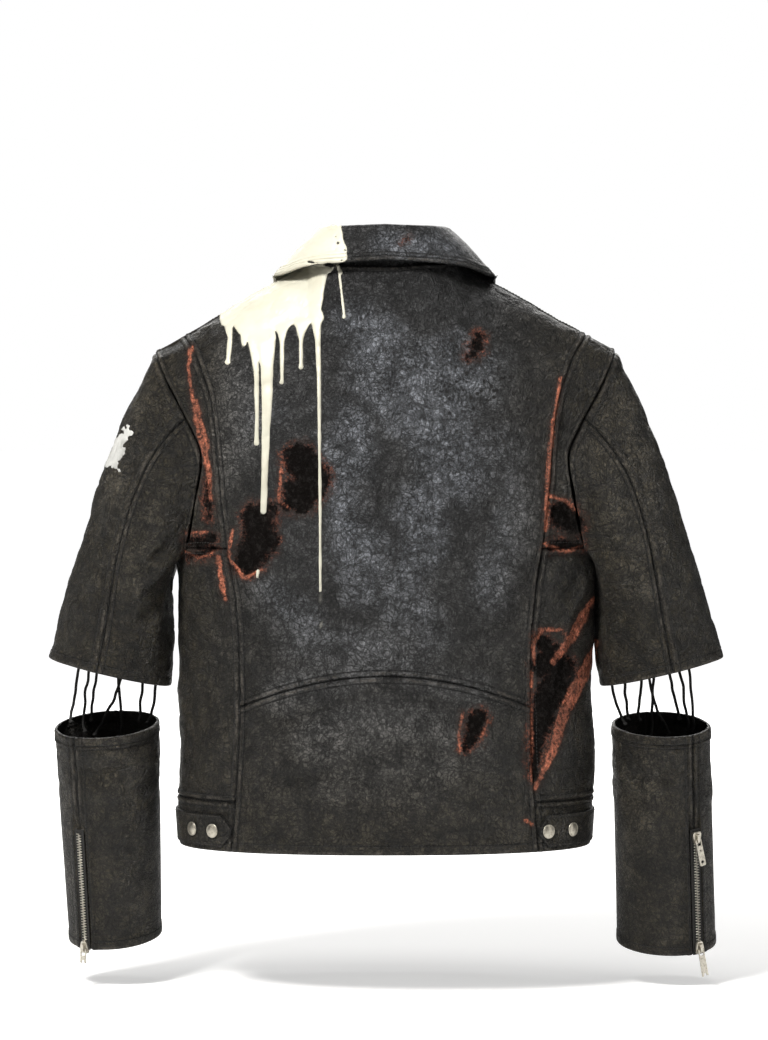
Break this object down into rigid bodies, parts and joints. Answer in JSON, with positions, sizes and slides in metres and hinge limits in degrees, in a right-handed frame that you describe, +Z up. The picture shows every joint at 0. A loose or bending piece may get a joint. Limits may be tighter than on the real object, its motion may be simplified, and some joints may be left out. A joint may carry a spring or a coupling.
{
  "type": "worn leather jacket",
  "caption": "Hip-length biker jacket in worn leather, filled out with no wearer, with laced-on forearms, zips, snaps and a paint spill.",
  "frame": {"origin": "centre of the neck opening at the height of the back neck seam, where the wearer's neck and shoulders hold it", "axes": "+Z up, -Y out of the jacket's back, +Y out of its front, +X to the right as seen from behind"},
  "size_m": [0.6754, 0.2309, 0.7511],
  "materials": {
    "leather": "worn, waxy, creased charcoal leather",
    "zip_tape": "woven black tape",
    "metal": "worn nickel plate",
    "lace": "braided black cord"
  },
  "bodies": {
    "root": {"adjuster_tab_left": "leather", "adjuster_tab_right": "leather", "back_centre": "leather", "back_waist": "leather", "collar_fall": "leather", "collar_stand": "leather", "forearm_inner_left": "leather", "forearm_inner_right": "leather", "forearm_outer_left": "leather", "forearm_outer_right": "leather", "front_left": "leather", "front_right": "leather", "front_zip_chain": "metal", "front_zip_tape": "zip_tape", "gusset_left": "leather", "gusset_right": "leather", "lace_left_1": "lace", "lace_left_2": "lace", "lace_left_3": "lace", "lace_left_4": "lace", "lace_left_5": "lace", "lace_left_6": "lace", "lace_left_7": "lace", "lace_right_1": "lace", "lace_right_2": "lace", "lace_right_3": "lace", "lace_right_4": "lace", "lace_right_5": "lace", "lace_right_6": "lace", "lace_right_7": "lace", "lace_right_8": "lace", "side_band_left": "leather", "side_band_right": "leather", "side_panel_left": "leather", "side_panel_right": "leather", "slider_front": "metal", "slider_left_bottom": "metal", "slider_right_bottom": "metal", "slider_right_top": "metal", "snap_left_inner": "metal", "snap_left_outer": "metal", "snap_right_inner": "metal", "snap_right_outer": "metal", "top_sleeve_left": "leather", "top_sleeve_right": "leather", "under_sleeve_left": "leather", "under_sleeve_right": "leather", "zip_chain_left": "metal", "zip_chain_right": "metal", "zip_tape_left": "zip_tape", "zip_tape_right": "zip_tape"},
    "pull_front": {"pull_front": "metal"},
    "pull_left_bottom": {"pull_left_bottom": "metal"},
    "pull_right_bottom": {"pull_right_bottom": "metal"},
    "pull_right_top": {"pull_right_top": "metal"}
  },
  "joints": [
    {"name": "pull_front_swing", "type": "hinge", "parent": "root", "child": "pull_front", "pos_m": [0, 0.09574, -0.07517], "axis": [1, 0, 0], "range_deg": [0, 150]},
    {"name": "pull_left_bottom_swing", "type": "hinge", "parent": "root", "child": "pull_left_bottom", "pos_m": [-0.30273, -0.00164, -0.68272], "axis": [-0.8405, 0.5418, 0], "range_deg": [-5, 150]},
    {"name": "pull_right_bottom_swing", "type": "hinge", "parent": "root", "child": "pull_right_bottom", "pos_m": [0.31664, -0.00461, -0.68235], "axis": [-0.8284, -0.5201, -0.2079], "range_deg": [-5, 150]},
    {"name": "pull_right_top_swing", "type": "hinge", "parent": "root", "child": "pull_right_top", "pos_m": [0.31171, -0.02773, -0.56966], "axis": [-0.8181, -0.5217, -0.2419], "range_deg": [-5, 150]}
  ]
}
